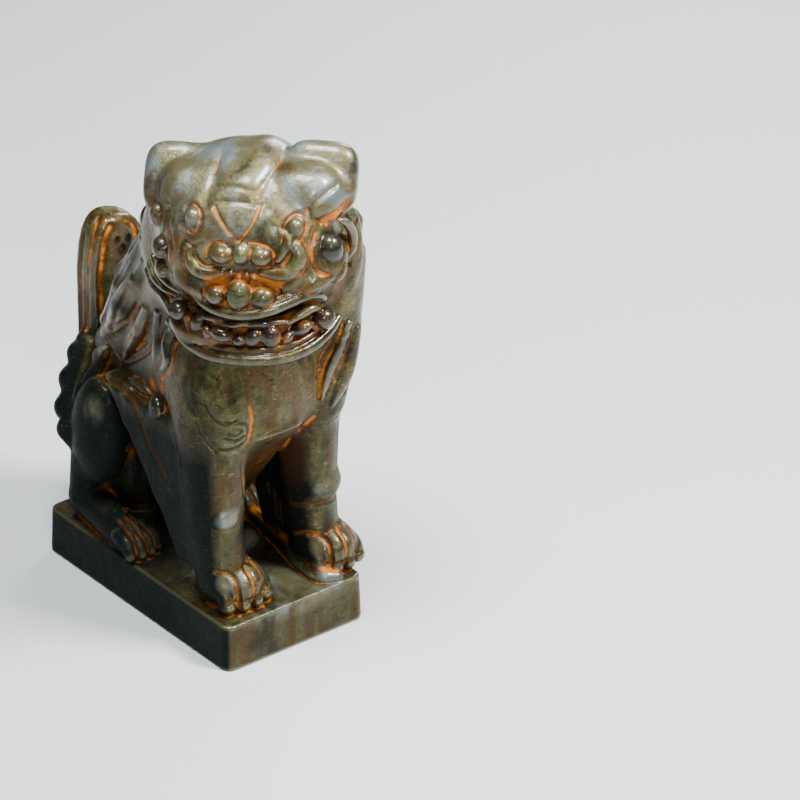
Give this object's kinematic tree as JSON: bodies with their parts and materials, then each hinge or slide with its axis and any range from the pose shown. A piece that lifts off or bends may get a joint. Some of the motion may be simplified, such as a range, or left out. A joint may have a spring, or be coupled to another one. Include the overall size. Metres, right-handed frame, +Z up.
{
  "type": "guardian lion statue",
  "caption": "Seated guardian lion dog in patinated bronze on a rectangular plinth, its curled head turned to one side, with an upright plume tail.",
  "frame": {"origin": "middle of the plinth's underside", "axes": "+Z up; -Y the way the lion's body faces, so +Y towards the tail; +X towards the lion's left"},
  "size_m": [0.2177, 0.3666, 0.5507],
  "materials": {
    "patinated_bronze": "cast bronze with a dark olive-brown patina, rust-orange in the hollows and worn golden on the edges, waxed to a gloss",
    "bare_bronze": "turned bronze fasteners, dull and lightly darkened"
  },
  "bodies": {
    "root": {"plinth": "patinated_bronze", "trunk": "patinated_bronze", "mane": "patinated_bronze", "head": "patinated_bronze", "lower_jaw": "patinated_bronze", "left_foreleg": "patinated_bronze", "right_foreleg": "patinated_bronze", "left_hind_leg": "patinated_bronze", "right_hind_leg": "patinated_bronze", "tail": "patinated_bronze", "foot_studs": "bare_bronze", "foot_washers": "bare_bronze", "foot_nuts": "bare_bronze", "neck_bolts": "bare_bronze", "neck_nuts": "bare_bronze", "head_pins": "bare_bronze", "jaw_pins": "bare_bronze", "shoulder_pins": "bare_bronze", "hip_dowels": "bare_bronze", "tail_stud": "bare_bronze", "tail_nut": "bare_bronze"}
  },
  "joints": []
}
